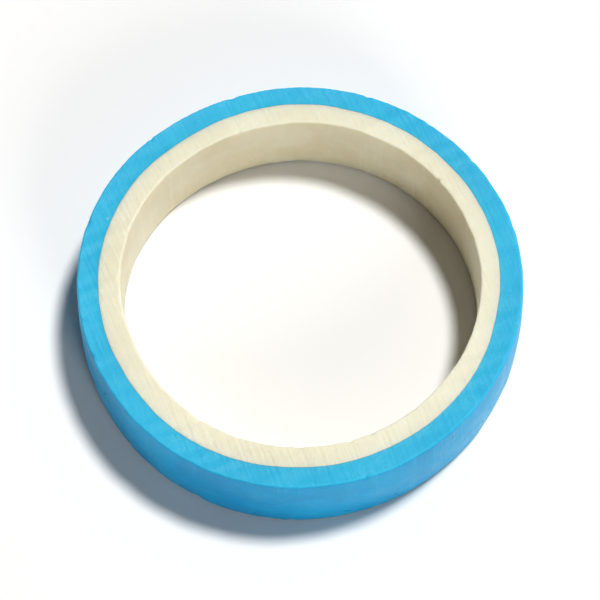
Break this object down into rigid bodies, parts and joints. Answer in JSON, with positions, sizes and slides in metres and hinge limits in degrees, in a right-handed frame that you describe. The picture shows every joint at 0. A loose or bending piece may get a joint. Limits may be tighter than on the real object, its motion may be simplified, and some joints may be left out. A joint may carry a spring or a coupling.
{
  "type": "leg band",
  "caption": "Elastic leg band for a small bird: a narrow rubber ring, sky blue outside and cream inside, sliced from a layered tube.",
  "frame": {"origin": "centre of the lower cut face, on the band's axis", "axes": "+Z along the band's axis, from the lower cut face to the upper one; X and Y lie in the cut face, and either can point anywhere round the ring"},
  "size_m": [0.01, 0.01, 0.002],
  "materials": {
    "blue_rubber": "satin sky-blue rubber",
    "cream_rubber": "satin cream rubber"
  },
  "bodies": {
    "root": {"outer_layer": "blue_rubber", "inner_layer": "cream_rubber"}
  },
  "joints": []
}
